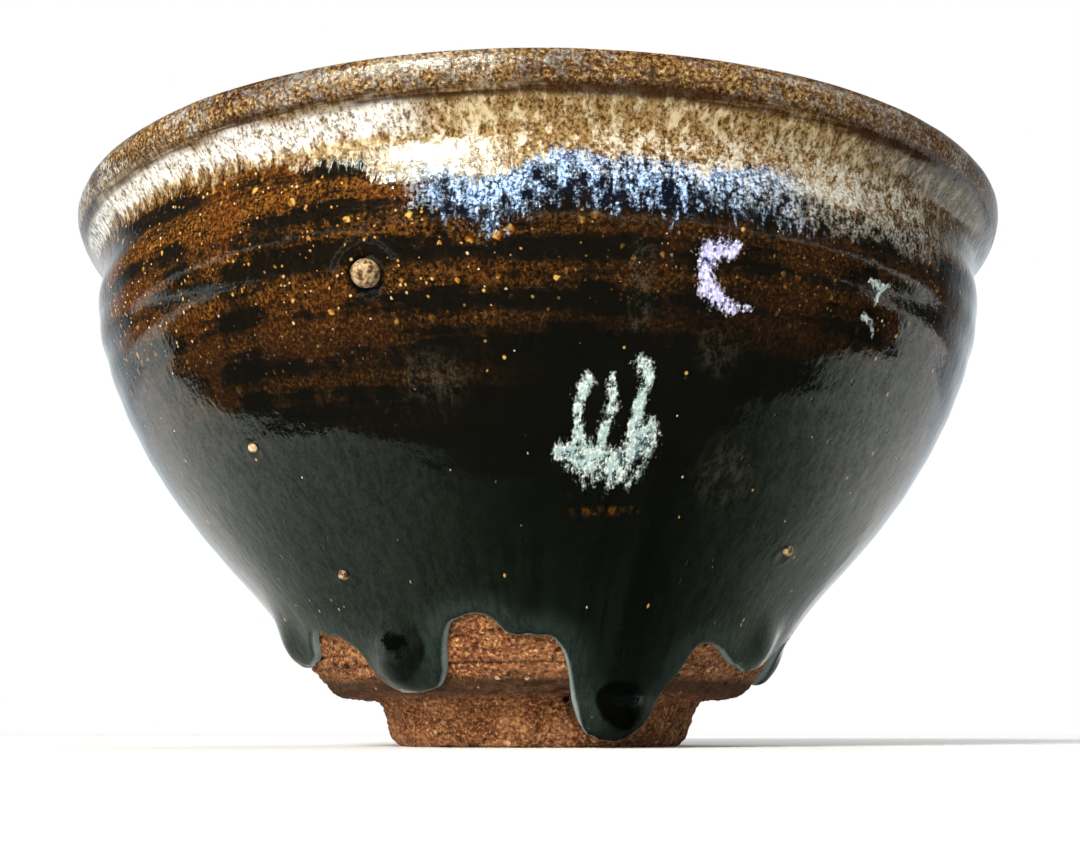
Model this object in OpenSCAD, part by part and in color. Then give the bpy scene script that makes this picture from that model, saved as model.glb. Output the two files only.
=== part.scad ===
// Matcha bowl: a wheel-thrown stoneware tea bowl with a turned foot and a thick iron glaze.
// The fired clay is one piece. The glaze is a glass skin fused to it, laid out here as its own solids,
// which meet the clay and each other face to face.
// Millimetres, +Z up, origin at the centre of the foot ring's resting face. The bowl's front faces -Y.

/* [Bowl] */
// Diameter over the glazed lip
rim_d = 122; // [112:1:132]
// Height from the resting face to the top of the glazed lip
bowl_h = 67.4; // [62:0.2:72]
// Clay wall thickness, halfway up
wall_t = 4.5; // [3.6:0.1:5.4]
// Depth of clay between the foot's recess and the well
base_t = 7.5; // [6.5:0.1:8.5]

/* [Foot] */
// Diameter of the foot ring at its top
foot_d = 40.4; // [38:0.2:42]
// Height of the foot ring, up to the ledge over it
foot_h = 6; // [5.4:0.1:6.6]
// Width of the foot ring's resting face
foot_face_w = 3.6; // [3:0.1:4.4]
// Depth of the recess turned inside the foot ring
recess_h = 3.6; // [2.8:0.1:4]

/* [Glaze] */
// Glaze thickness on the outside wall, just under the lip
outer_glaze_t = 0.7; // [0.5:0.05:0.9]
// Glaze thickness on top of the lip, where it runs thin
lip_glaze_t = 0.45; // [0.3:0.05:0.6]
// Glaze thickness on the inside wall
inner_glaze_t = 0.6; // [0.4:0.05:0.8]
// Glaze thickness low on the wall, where it gathers before it stops
roll_t = 1.1; // [0.9:0.05:1.3]
// Depth of the glaze pool in the middle of the well
pool_t = 1.7; // [1.2:0.1:1.8]
// Diameter of the largest grain of grit, which swelled through the glaze
grit_d = 3.0; // [2.6:0.2:4.2]

/* [Hidden] */
$fn = 96;

clay_colour = "#a4623c";
iron_glaze_colour = "#1c1712";
lip_glaze_colour = "#8a7458";
run_glaze_colour = "#26302f";
grit_colour = "#d8c39a";

span_steps = 5;                          // straight steps in each span of a smooth curve

// ---- Runs of glaze below the main glaze line, going round from the front towards +X ----
// Each is [bearing in degrees, width, height of its lowest point over or under the ledge]
runs = [
    [-70, 9.0, 4.0],
    [-31, 8.0, 0.3],
    [19, 8.5, -5.1],
    [59, 6.5, 3.5],
    [96, 8.5, 2.2],
    [134, 10.0, -0.8],
    [173, 7.0, 3.8],
    [-146, 9.0, 0.8],
    [-108, 6.5, 4.2]
];
glaze_line_z = 13.2;                     // where the glaze stops between the runs

// ---- Grains of grit in the glaze, as [bearing in degrees, height, diameter] ----
grains = [
    [-18, 46.5, grit_d],
    [-40, 32, 1.1],
    [-36, 19, 1.2],
    [45, 22, 1.4],
    [112, 40, 1.6],
    [-128, 27, 1.4],
    [168, 34, 1.8]
];

// ---- Outline points of the clay, as [radius, height] ----

lip_r = rim_d / 2 - outer_glaze_t;       // widest radius of the clay
lip_z = bowl_h - lip_glaze_t;            // top of the clay
foot_r = foot_d / 2;
face_r = foot_r - 2.5;                   // outer edge of the resting face
bevel_h = 1.1;                           // bevel between the resting face and the foot's side
ledge_r = foot_r + 6.2;                  // outer corner of the ledge over the foot
ridge_r = ledge_r + 2.7;                 // turning ridge across the bare facet over the ledge
ridge_z = foot_h + 3.6;
hip_r = ledge_r + 3.6;                   // where the facet ends and the thrown wall begins
hip_z = foot_h + 5.2;
floor_z = recess_h + base_t;             // clay floor of the well
well_r = 12;                             // the sunken middle of the floor, where the glaze pools
recess_r = face_r - foot_face_w;         // inner edge of the resting face

// A point on the thrown wall, as a share of its spread and a share of its rise.
function on_wall(spread, rise) = [
    hip_r + spread * (lip_r - hip_r),
    hip_z + rise * (lip_z - hip_z)
];

recess_points = [
    [0, recess_h],
    [recess_r - 1.6, recess_h - 0.3],
    [recess_r - 0.5, 0.9],
    [recess_r, 0]
];
foot_points = [
    [face_r, 0],
    [foot_r - 1.3, bevel_h],
    [foot_r, foot_h - 1],
    [foot_r + 0.9, foot_h - 0.1],
    [ledge_r - 1, foot_h + 0.2],
    [ledge_r, foot_h + 0.7],
    [ridge_r, ridge_z],
    [hip_r, hip_z]
];
// The wall swells to a shoulder and draws in to a throat under the lip.
wall_points = [
    on_wall(0, 0),
    on_wall(0.137, 0.110),
    on_wall(0.378, 0.250),
    on_wall(0.595, 0.395),
    on_wall(0.754, 0.540),
    on_wall(0.854, 0.670),
    on_wall(0.896, 0.770),
    on_wall(0.884, 0.862),
    on_wall(0.931, 0.909)
];
// The lip flares out to a narrow rounded edge, widest just under its top.
lip_points = [
    on_wall(0.931, 0.909),
    on_wall(0.972, 0.937),
    on_wall(0.995, 0.963),
    on_wall(1.000, 0.988),
    on_wall(0.987, 1.000),
    on_wall(0.965, 0.988),
    on_wall(0.904, 0.947),
    on_wall(0.845, 0.886)
];
inside_points = [
    on_wall(0.845, 0.886),
    on_wall(0.896, 0.770) - [wall_t, 0],
    on_wall(0.754, 0.540) - [wall_t + 0.2, 0],
    on_wall(0.595, 0.395) - [wall_t + 0.8, 0],
    on_wall(0.378, 0.250) - [wall_t + 2, 0],
    [foot_r + 5, floor_z + 6.4],
    [foot_r - 2.2, floor_z + 2.8],
    [well_r, floor_z + 1.3]
];
well_points = [
    [well_r, floor_z + 1.3],
    [well_r - 1.6, floor_z + 0.7],
    [well_r - 4.5, floor_z + 0.25],
    [0, floor_z]
];

// ---- Curves ----

function mix(a, b, t) = a + (b - a) * t;
function last(p) = len(p) - 1;
function without_last(p) = [for (i = [0 : last(p) - 1]) p[i]];
function reversed(p) = [for (i = [last(p) : -1 : 0]) p[i]];
function slice(p, first, end) = [for (i = [first : end]) p[i]];
function unit(v) = v / norm(v);

// Catmull-Rom point at share t of the span from b to c
function spline_point(a, b, c, d, t) =
    0.5 * (2 * b + (c - a) * t + (2 * a - 5 * b + 4 * c - d) * t * t
           + (3 * b - a - 3 * c + d) * t * t * t);

// Smooth curve through the points p
function smooth(p) = concat(
    [for (i = [0 : last(p) - 1], j = [0 : span_steps - 1])
        spline_point(p[max(i - 1, 0)], p[i], p[i + 1], p[min(i + 2, last(p))], j / span_steps)],
    [p[last(p)]]);

// Unit vector out of the clay at point i of a curve that has the clay on its left
function outward(p, i) = let (along = unit(p[min(i + 1, last(p))] - p[max(i - 1, 0)]))
    [along[1], -along[0]];

// The clay under the glaze, from low on the wall, over the lip and down to the edge of the well
wall_curve = smooth(wall_points);
lip_curve = smooth(lip_points);
inside_curve = smooth(inside_points);
run_top = span_steps;                    // the runs end at the wall's second point
clay_side = concat(
    slice(wall_curve, run_top, last(wall_curve) - 1),
    without_last(lip_curve),
    inside_curve);

// Indices in clay_side where one stretch of glaze meets the next
lip_start = last(wall_curve) - run_top;
widest = lip_start + 3 * span_steps;
crest = lip_start + 4 * span_steps;
lip_end = lip_start + last(lip_curve);
well_edge = last(clay_side);

function glaze_t(i) =
    i < lip_start ? mix(roll_t, outer_glaze_t, i / lip_start)
    : i < widest ? outer_glaze_t
    : i < crest ? mix(outer_glaze_t, lip_glaze_t, (i - widest) / (crest - widest))
    : i < lip_end ? mix(lip_glaze_t, inner_glaze_t, (i - crest) / (lip_end - crest))
    : inner_glaze_t;

glaze_side = [for (i = [0 : last(clay_side)]) clay_side[i] + outward(clay_side, i) * glaze_t(i)];

clay_outline = concat(
    recess_points,
    without_last(foot_points),
    without_last(wall_curve),
    without_last(lip_curve),
    without_last(inside_curve),
    smooth(well_points));

// ---- Placing things round the bowl ----

// Bearing 0 is the front, -Y, and bearings grow towards +X.
module at_bearing(degrees) {
    rotate([0, 0, degrees - 90]) children();
}

// Radius of the glazed wall at height z
function glaze_r(z, i = 0) = i >= lip_start || glaze_side[i + 1][1] > z
    ? mix(glaze_side[i][0], glaze_side[i + 1][0],
          (z - glaze_side[i][1]) / (glaze_side[i + 1][1] - glaze_side[i][1]))
    : glaze_r(z, i + 1);

// The balls of all the grains, each centred a little under the face of the glaze
module grain_balls() {
    for (g = grains)
        at_bearing(g[0]) translate([glaze_r(g[1]) - 0.15 * g[2], 0, g[1]]) sphere(d = g[2]);
}

// Ring of glaze between two indices of clay_side
module glaze_ring(first, end) {
    rotate_extrude()
        polygon(concat(slice(clay_side, first, end), reversed(slice(glaze_side, first, end))));
}

// ---- Sub-parts ----

module clay_body() {
    color(clay_colour) rotate_extrude() polygon(clay_outline);
}

module outer_glaze() {
    color(iron_glaze_colour) difference() {
        glaze_ring(0, lip_start);
        grain_balls();
    }
}

module lip_glaze() {
    color(lip_glaze_colour) glaze_ring(lip_start, lip_end);
}

module inner_glaze() {
    color(iron_glaze_colour) glaze_ring(lip_end, well_edge);
}

// Everywhere that a run could reach: from the wall, over the ledge, down the foot ring
module run_zone() {
    rotate_extrude() polygon(concat(
        slice(foot_points, 1, last(foot_points) - 1),
        slice(wall_curve, 0, run_top),
        [
            glaze_side[0],
            [hip_r + 0.9, hip_z - 0.7],
            [ridge_r + 0.9, ridge_z - 0.7],
            [ledge_r + 1.4, foot_h + 0.2],
            [ledge_r - 0.2, foot_h - 1.6],
            [foot_r + 2.8, bevel_h + 1.1],
            [foot_r + 1, bevel_h + 0.1]
        ]));
}

// A run seen from outside: a neck that ends in a round drop
module run_outline(width, low_z) {
    translate([0, low_z + width / 2]) circle(d = width);
    translate([-0.45 * width, low_z + width / 2]) square([0.9 * width, bowl_h / 2]);
}

module glaze_runs() {
    color(run_glaze_colour) intersection() {
        run_zone();
        union() {
            translate([0, 0, glaze_line_z]) cylinder(r = rim_d / 2, h = bowl_h / 2);
            for (run = runs)
                at_bearing(run[0])
                    rotate([90, 0, 90]) linear_extrude(rim_d / 2) run_outline(run[1], foot_h + run[2]);
        }
    }
}

module well_pool() {
    pool_rim = glaze_side[well_edge];
    color(iron_glaze_colour) rotate_extrude() polygon(concat(
        smooth(well_points),
        [[0, floor_z + pool_t], [well_r - 5, floor_z + pool_t], pool_rim]));
}

module grit_grains() {
    color(grit_colour) difference() {
        grain_balls();
        rotate_extrude() polygon(concat([[0, 0]], without_last(foot_points), wall_curve, [[0, lip_z]]));
    }
}

clay_body();
outer_glaze();
lip_glaze();
inner_glaze();
glaze_runs();
well_pool();
grit_grains();
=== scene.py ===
"""The looks of the tea bowl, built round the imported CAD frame.

Shapes are worked out in millimetres. A bearing is in degrees round the bowl, from its front, -Y, towards +X.
A point of a skin is given by its bearing and by how far along the bowl's outline it lies, from the foot up
the outside, over the lip and down the inside.
"""
import math

import bmesh
import bpy
import numpy as np
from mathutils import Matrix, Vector


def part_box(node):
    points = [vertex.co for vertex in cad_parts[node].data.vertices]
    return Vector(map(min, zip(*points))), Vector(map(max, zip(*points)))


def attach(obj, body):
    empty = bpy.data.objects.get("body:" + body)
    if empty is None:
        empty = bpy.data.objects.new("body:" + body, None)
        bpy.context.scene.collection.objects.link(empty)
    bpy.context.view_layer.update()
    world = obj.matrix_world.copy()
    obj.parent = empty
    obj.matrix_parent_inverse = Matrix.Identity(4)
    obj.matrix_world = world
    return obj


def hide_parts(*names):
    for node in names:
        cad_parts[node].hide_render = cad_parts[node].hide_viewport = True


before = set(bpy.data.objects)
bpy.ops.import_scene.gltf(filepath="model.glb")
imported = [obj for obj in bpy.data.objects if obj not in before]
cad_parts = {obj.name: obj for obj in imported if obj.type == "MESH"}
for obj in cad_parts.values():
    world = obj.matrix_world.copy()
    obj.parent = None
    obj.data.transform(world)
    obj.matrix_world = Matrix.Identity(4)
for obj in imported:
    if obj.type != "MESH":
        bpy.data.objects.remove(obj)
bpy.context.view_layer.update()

MM = 0.001
BODY = "root"


# ---------------------------------------------------------------- outlines

def top_of(node):
    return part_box(node)[1].z / MM


def bottom_of(node):
    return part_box(node)[0].z / MM


def cad_outline(node):
    """The node's outline in the half plane x > 0, y = 0, in order from the axis, as radii and heights."""
    bm = bmesh.new()
    bm.from_mesh(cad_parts[node].data)
    bmesh.ops.remove_doubles(bm, verts=bm.verts, dist=1e-6)
    geometry = bm.verts[:] + bm.edges[:] + bm.faces[:]
    cut = bmesh.ops.bisect_plane(bm, geom=geometry, plane_co=(0, 0, 0), plane_no=(0, 1, 0), dist=1e-7)
    edges = [e for e in cut["geom_cut"] if isinstance(e, bmesh.types.BMEdge)]
    neighbours = {}
    for edge in edges:
        a, b = edge.verts
        if (a.co.x + b.co.x) > 0:
            neighbours.setdefault(a, []).append(b)
            neighbours.setdefault(b, []).append(a)
    ends = [v for v, others in neighbours.items() if len(others) == 1]
    here = min(ends, key=lambda v: v.co.z)
    order, last = [here], None
    while True:
        onward = [v for v in neighbours[here] if v is not last]
        if not onward:
            break
        last, here = here, onward[0]
        order.append(here)
    points = np.array([(v.co.x / MM, v.co.z / MM) for v in order])
    bm.free()
    return points


def resampled(points, step):
    """The polyline's points at equal steps along it."""
    lengths = np.hypot(*np.diff(points, axis=0).T)
    along = np.concatenate([[0], np.cumsum(lengths)])
    count = int(along[-1] / step) + 1
    wanted = np.linspace(0, along[-1], count)
    return np.stack([np.interp(wanted, along, points[:, i]) for i in (0, 1)], 1)


def smoothed(points, sigma, step):
    """The points with their corners rounded over about sigma. Both ends are on the axis, and stay there."""
    half = int(4 * sigma / step)
    weights = np.exp(-0.5 * (np.arange(-half, half + 1) * step / sigma) ** 2)
    weights /= weights.sum()
    radii = np.pad(points[:, 0], half, mode="reflect", reflect_type="odd")
    heights = np.pad(points[:, 1], half, mode="reflect")
    return np.stack([np.convolve(radii, weights, "valid"), np.convolve(heights, weights, "valid")], 1)


def smoothstep(low, high, x):
    t = np.clip((x - low) / (high - low), 0, 1)
    return t * t * (3 - 2 * t)


class Path:
    """A line in the (radius, height) half plane, measured by the distance along it.

    Its outside rises from the point at index start up to the crest, and its inside comes down from there.
    """

    def __init__(self, points, start=0):
        lengths = np.hypot(*np.diff(points, axis=0).T)
        self.along = np.concatenate([[0], np.cumsum(lengths)])
        self.radii, self.heights = points.T
        slope = np.gradient(points, self.along, axis=0)
        slope /= np.linalg.norm(slope, axis=1)[:, None]
        self.out_r, self.out_z = slope[:, 1], -slope[:, 0]
        self.length = self.along[-1]
        self.start, self.crest = start, int(np.argmax(self.heights))

    def at(self, s):
        """Radius, height, and the unit vector out of the clay, at distance s."""
        return [np.interp(s, self.along, v) for v in (self.radii, self.heights, self.out_r, self.out_z)]

    def outside(self, height):
        """The distance along the path at which its outside reaches this height."""
        rising = np.maximum.accumulate(self.heights[self.start:self.crest + 1])
        return np.interp(height, rising, self.along[self.start:self.crest + 1])

    def inside(self, height):
        """The distance along the path at which its inside comes down to this height."""
        return np.interp(-height, -self.heights[self.crest:], self.along[self.crest:])


STEP = 0.1
LEDGE = 6.6                             # height of the ledge's corner over the foot ring


def clay_outline():
    """The CAD clay's outline, crisp at the foot and the lip, and soft where the wall was thrown."""
    raw = resampled(cad_outline("clay_body"), STEP)
    crisp, soft = smoothed(raw, 0.25, STEP), smoothed(raw, 1.4, STEP)
    thrown = smoothstep(11.5, 15.0, raw[:, 1]) * (1 - smoothstep(57.5, 60.5, raw[:, 1]))
    return crisp + (soft - crisp) * thrown[:, None]


def resting_edge(points):
    """The index of the resting face's outer edge: on the floor, and as far out as the floor goes."""
    return int(np.argmin(np.abs(points[:, 1]) - 0.02 * points[:, 0]))


clay_points = clay_outline()
clay_path = Path(clay_points, resting_edge(clay_points))
ledge_s = clay_path.outside(LEDGE)
ledge_r, ledge_z, _, _ = clay_path.at(ledge_s)


def bridge(count=80):
    """The line that a drop's skin follows from the foot ring up to the ledge's corner."""
    low = np.array([clay_path.at(clay_path.outside(1.7))[0] - 0.2, 1.6])
    bend = np.array([ledge_r - 0.3, 1.7])
    high = np.array([ledge_r, ledge_z])
    t = np.linspace(0, 1, count)[:-1, None]
    return low * (1 - t) ** 2 + bend * 2 * t * (1 - t) + high * t ** 2


def glaze_outline():
    """The clay's outline with a bridge over the step above the foot ring, rounded where the two meet."""
    above = clay_path.along > ledge_s
    low, high = bridge(), np.stack([clay_path.radii[above], clay_path.heights[above]], 1)
    points = resampled(np.vstack([low, high]), STEP)
    joint = np.hypot(*np.diff(low, axis=0).T).sum()
    near = np.exp(-((np.arange(len(points)) * STEP - joint) / 2.2) ** 2)
    return points + (smoothed(points, 1.0, STEP) - points) * near[:, None]


glaze_path = Path(glaze_outline())

RUN_TOP = glaze_path.outside(top_of("glaze_runs"))
CREASE = glaze_path.outside(bottom_of("lip_glaze") + 1.0)
WIDEST = glaze_path.along[int(np.argmax(glaze_path.radii))]
LIP_END = glaze_path.inside(bottom_of("lip_glaze"))
WELL_EDGE = glaze_path.inside(bottom_of("inner_glaze") + 0.02)


# ---------------------------------------------------------------- noise

def lattice(seed, around, step):
    """Smooth noise from -1 to 1: so many cells round the bowl, and one for each step of distance along it."""
    table = np.random.default_rng(seed).uniform(-1, 1, (around, 1024))

    def value(bearing, s):
        u = np.mod(bearing / 360, 1) * around
        v = s / step + 64
        iu, iv = np.floor(u).astype(int), np.floor(v).astype(int)
        fu, fv = smoothstep(0, 1, u - iu), smoothstep(0, 1, v - iv)
        rows = [table[i % around, j % 1024] for i in (iu, iu + 1) for j in (iv, iv + 1)]
        low = rows[0] * (1 - fv) + rows[1] * fv
        high = rows[2] * (1 - fv) + rows[3] * fv
        return low * (1 - fu) + high * fu

    return value


warp_round = lattice(1, 7, 22)
rill_wander = lattice(2, 5, 30)
rill_strength = lattice(3, 9, 6)
peel_coarse = lattice(4, 120, 3.2)
peel_fine = lattice(5, 300, 1.2)
lump_noise = lattice(7, 40, 9)


def warp(bearing, height):
    """How far the hand-thrown wall stands out from a true circle."""
    return 0.22 * warp_round(bearing, height) * smoothstep(14, 30, height)


RILL_PITCH = 4.55
RILL_PHASE = 60.6                       # height of one rill's upper face


def rills(bearing, height, s):
    """Throwing ridges, as a distance out of the wall."""
    turns = (height - RILL_PHASE + 0.7 * rill_wander(bearing, s)) / RILL_PITCH
    ridge = -np.sin(2 * math.pi * turns)
    fade = 0.35 * smoothstep(17, 26, height) + 0.65 * smoothstep(42, 50, height)
    fade = fade * (1 - smoothstep(61, 63, height))
    return 0.07 * fade * ridge * (1 + 0.5 * rill_strength(bearing, s))


# ---------------------------------------------------------------- the glaze's lower edge

# Where the glaze stops, going round: (bearing, height). Between the runs it stops at about 13 mm.
EDGE = [
    (-82, 11.8), (-75, 10.1), (-68, 10.0), (-61, 11.2), (-58, 12.9), (-50, 13.0), (-45, 12.1), (-42, 10.4),
    (-40.5, 8.6), (-37, 7.0), (-32, 6.3), (-27, 6.7), (-22, 8.2), (-20.3, 9.7), (-19.6, 11.4), (-18, 13.3),
    (-15, 14.3), (-9, 13.9), (-7, 12.8), (-1, 12.3), (3.5, 11.8), (5.2, 10.6), (6.3, 9.2), (7.2, 7.6),
    (8.2, 5.5), (9.5, 3.9), (12, 2.6), (16, 2.0), (21, 1.8), (26, 2.2), (29, 3.5), (31, 5.4), (33, 7.6),
    (34.3, 9.6), (36, 11.3), (39, 11.9), (43, 11.4), (49, 10.0), (55, 9.3), (60, 9.4), (65, 10.0),
    (70, 11.5), (75, 13.0), (80, 13.4), (87, 12.6), (91, 10.2), (94, 8.6), (98, 8.3), (102, 9.4),
    (105, 11.8), (110, 13.0), (118, 13.3), (124, 12.0), (128, 8.8), (131, 6.4), (135, 5.6), (139, 6.2),
    (142, 8.4), (145, 11.2), (150, 12.7), (158, 13.4), (165, 12.2), (169, 10.2), (173, 9.6), (177, 10.3),
    (181, 12.4), (190, 13.6), (200, 12.9), (206, 11.0), (210, 8.0), (214, 6.7), (218, 7.2), (221, 9.2),
    (224, 11.6), (230, 13.1), (239, 12.9), (245, 11.2), (250, 10.0), (255, 10.6), (259, 12.4), (266, 13.5),
    (273, 12.9), (278, 11.8),
]
# Drops where the runs gathered: (bearing, height, radius, extra thickness)
DROPS = [
    (-71, 12.8, 3.2, 1.3), (-30.5, 10.2, 3.2, 2.2), (20.5, 5.0, 3.2, 2.0), (57, 12.2, 2.8, 1.1),
    (97, 11.2, 3.0, 1.3), (135, 9.0, 3.4, 2.0), (173, 12.2, 2.8, 1.1), (214, 9.8, 3.3, 1.8),
    (251, 12.6, 2.8, 1.0),
]
COAT_WALL, COAT_LIP, COAT_INSIDE = 0.7, 0.45, 0.6
BEAD_HEIGHT, BEAD_WIDTH, BEAD_FALL = 0.95, 1.0, 3.2
EDGE_STEP = 0.25


def through(points, x):
    """A smooth curve through the points, read at x."""
    px, py = np.array(points, float).T
    slopes = np.gradient(py, px)
    slopes[0] = slopes[-1] = (py[1] - py[-2]) / (px[1] - px[0] + px[-1] - px[-2])
    i = np.clip(np.searchsorted(px, x, side="right") - 1, 0, len(px) - 2)
    width = px[i + 1] - px[i]
    t = (x - px[i]) / width
    return (py[i] * (1 + 2 * t) * (1 - t) ** 2 + py[i + 1] * t * t * (3 - 2 * t)
            + width * (slopes[i] * t * (1 - t) ** 2 - slopes[i + 1] * t * t * (1 - t)))


edge_bearings = np.arange(0, 360, EDGE_STEP)
edge_turned = EDGE[0][0] + np.mod(edge_bearings - EDGE[0][0], 360)
edge_wobble = 0.12 * lattice(8, 180, 50)(edge_bearings, 0 * edge_bearings)
edge_s = glaze_path.outside(through(EDGE, edge_turned) + edge_wobble)


def edge_at(bearing):
    turned = np.mod(bearing, 360) / EDGE_STEP
    i = np.floor(turned).astype(int) % len(edge_s)
    return edge_s[i] + (turned - np.floor(turned)) * (edge_s[(i + 1) % len(edge_s)] - edge_s[i])


def edge_distance(bearing, s, radius):
    """Distance over the surface to the glaze's lower edge, up to about 5 mm."""
    reach = int(13 / EDGE_STEP)
    place = np.mod(bearing, 360) / EDGE_STEP
    near = np.floor(place).astype(int)
    part = place - near
    per_step = radius * math.radians(EDGE_STEP)
    best = np.full(bearing.shape, 1e9)
    for k in range(-reach, reach + 1):
        ax, bx = (k - part) * per_step, (k + 1 - part) * per_step
        ay = edge_s[(near + k) % len(edge_s)] - s
        by = edge_s[(near + k + 1) % len(edge_s)] - s
        dx, dy = bx - ax, by - ay
        t = np.clip(-(ax * dx + ay * dy) / (dx * dx + dy * dy + 1e-12), 0, 1)
        best = np.minimum(best, (ax + t * dx) ** 2 + (ay + t * dy) ** 2)
    return np.sqrt(best)


def turned_by(bearing, centre):
    """The bearing's difference from a centre, from -180 to 180."""
    return np.mod(bearing - centre + 180, 360) - 180


# ---------------------------------------------------------------- grains of grit

def islands(node):
    """Centre and size of each separate solid of a CAD node, in millimetres."""
    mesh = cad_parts[node].data
    bm = bmesh.new()
    bm.from_mesh(mesh)
    bmesh.ops.remove_doubles(bm, verts=bm.verts, dist=1e-6)
    left, found = set(bm.verts), []
    while left:
        stack, members = [left.pop()], []
        while stack:
            v = stack.pop()
            members.append(v.co / MM)
            for edge in v.link_edges:
                other = edge.other_vert(v)
                if other in left:
                    left.remove(other)
                    stack.append(other)
        corners = np.array(members)
        low, high = corners.min(0), corners.max(0)
        found.append(((low + high) / 2, float((high - low).max())))
    bm.free()
    return sorted(found, key=lambda item: -item[1])


grains = [
    (math.degrees(math.atan2(c[0], -c[1])), float(glaze_path.outside(c[2])), size, c)
    for c, size in islands("grit_grains")
]


def grain_craters(bearing, s, radius):
    """The glaze draws back from each grain and stands up a little round it."""
    total = np.zeros(np.shape(bearing))
    for centre, grain_s, size, _ in grains:
        x = np.radians(turned_by(bearing, centre)) * radius
        d = np.hypot(x, s - grain_s) / size
        total += size * size * (0.028 * np.exp(-((d - 0.95) / 0.28) ** 2) - 0.036 * np.exp(-(d / 0.5) ** 2))
    return total


# ---------------------------------------------------------------- the glaze's surface

def coat(s):
    """Thickness of the glaze away from its lower edge, and how deep the pool is."""
    stations = [0, RUN_TOP, CREASE, WIDEST, glaze_path.along[glaze_path.crest], LIP_END, WELL_EDGE - 3]
    depths = [1.0, 0.95, COAT_WALL, COAT_WALL, COAT_LIP, COAT_INSIDE, COAT_INSIDE]
    thin = np.interp(s, stations, depths)
    _, height, _, _ = glaze_path.at(s)
    pool_level = top_of("well_pool") - 0.08
    filled = np.where(s > WELL_EDGE - 4, np.maximum(pool_level - height, 0), 0)
    return (thin ** 4 + filled ** 4) ** 0.25


def glaze_thickness(bearing, s, radius):
    edge = edge_at(bearing)
    low = s < RUN_TOP + 8
    distance = np.full(s.shape, 9.0)
    distance[low] = edge_distance(bearing[low], s[low], radius[low])
    extra = np.zeros(s.shape)
    for centre, height, size, thick in DROPS:
        x = np.radians(turned_by(bearing, centre)) * radius
        y = s - glaze_path.outside(height)
        extra += thick * np.exp(-((x / size) ** 2 + (y / (1.25 * size)) ** 2))
    across = np.clip(distance / BEAD_WIDTH, 0, 1)
    rolled = BEAD_HEIGHT * np.sqrt(1 - (1 - across) ** 2)
    settle = np.exp(-(np.maximum(distance - BEAD_WIDTH, 0) / BEAD_FALL) ** 2)
    body = coat(s)
    thick = np.where(across < 1, rolled, body + (BEAD_HEIGHT - body) * settle)
    thick = thick + extra * np.sqrt(1 - (1 - np.clip(distance / 2.6, 0, 1)) ** 2)
    return np.where(s <= edge + 1e-9, 0, thick)


def glaze_surface(bearing, s):
    """Points of the glaze's outer surface."""
    radius, height, out_r, out_z = glaze_path.at(s)
    flat = 1 - smoothstep(WELL_EDGE - 6, WELL_EDGE, s)
    peel = 0.022 * peel_coarse(bearing, s) + 0.006 * peel_fine(bearing, s)
    out = glaze_thickness(bearing, s, radius) + flat * smoothstep(0, 2.5, s - edge_at(bearing)) * (
        peel + rills(bearing, height, s) + 0.07 * lump_noise(bearing, s) * smoothstep(15, 22, height))
    outside = s < LIP_END
    out = out + np.where(outside, grain_craters(bearing, s, radius), 0)
    radius = radius + warp(bearing, height) + out * out_r
    height = height + out * out_z
    return on_bearing(bearing, radius, height)


def on_bearing(bearing, radius, height):
    angle = np.radians(bearing)
    return np.stack([radius * np.sin(angle), -radius * np.cos(angle), height], -1)


SUNK = 0.25                             # how far the glaze's hidden side lies in the clay
CLAY_SHIFT = clay_path.length - glaze_path.length       # the recess comes first along the clay's outline


def glaze_back(bearing, s):
    """Points of the glaze's hidden side."""
    _, height, _, _ = glaze_path.at(s)
    clay_s = np.where(s < glaze_path.outside(ledge_z), clay_path.outside(height), s + CLAY_SHIFT)
    radius, height, out_r, out_z = clay_path.at(clay_s)
    return on_bearing(bearing, radius + warp(bearing, height) - SUNK * out_r, height - SUNK * out_z)


def glaze_normals(bearing, s):
    d = 0.1
    turn = np.degrees(d / np.maximum(glaze_path.at(s)[0], 0.5))
    up = glaze_surface(bearing, s + d) - glaze_surface(bearing, s - d)
    around = glaze_surface(bearing + turn, s) - glaze_surface(bearing - turn, s)
    normals = np.cross(around, up)
    return normals / np.maximum(np.linalg.norm(normals, axis=-1, keepdims=True), 1e-12)


# ---------------------------------------------------------------- meshes

def revolved_faces(rows, columns, ring):
    """Quads between neighbouring rows and columns of a grid that wraps round the bowl."""
    row = np.arange(rows if ring else rows - 1)[:, None] * columns
    next_row = (row + columns) % (rows * columns)
    column = np.arange(columns)[None, :]
    next_column = (column + 1) % columns
    quads = np.stack([row + column, row + next_column, next_row + next_column, next_row + column], -1)
    return quads.reshape(-1, 4).tolist()


def make_piece(name, grid, normals=None, ring=True):
    """A closed mesh from a grid of rows round the bowl. Without ring, both end rows close on the axis."""
    rows, columns, _ = grid.shape
    points = grid.reshape(-1, 3)
    faces = revolved_faces(rows, columns, ring)
    if not ring:
        ends = np.stack([grid[0].mean(0), grid[-1].mean(0)])
        first, last = rows * columns, rows * columns + 1
        top = (rows - 1) * columns
        faces += [[first, (c + 1) % columns, c] for c in range(columns)]
        faces += [[last, top + c, top + (c + 1) % columns] for c in range(columns)]
        points = np.vstack([points, ends])
    mesh = bpy.data.meshes.new(name)
    mesh.from_pydata((points * MM).tolist(), [], faces)
    mesh.update()
    if signed_volume(mesh) < 0:
        mesh.flip_normals()
    mesh.shade_smooth()
    if normals is not None:
        whole = np.array([v.vector for v in mesh.vertex_normals])
        whole[:len(normals)] = normals
        mesh.normals_split_custom_set_from_vertices(whole.tolist())
    return placed(name, mesh)


def placed(name, data):
    """A new object in the scene, of a mesh, a light or a camera."""
    made = bpy.data.objects.new(name, data)
    bpy.context.scene.collection.objects.link(made)
    return made


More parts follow.
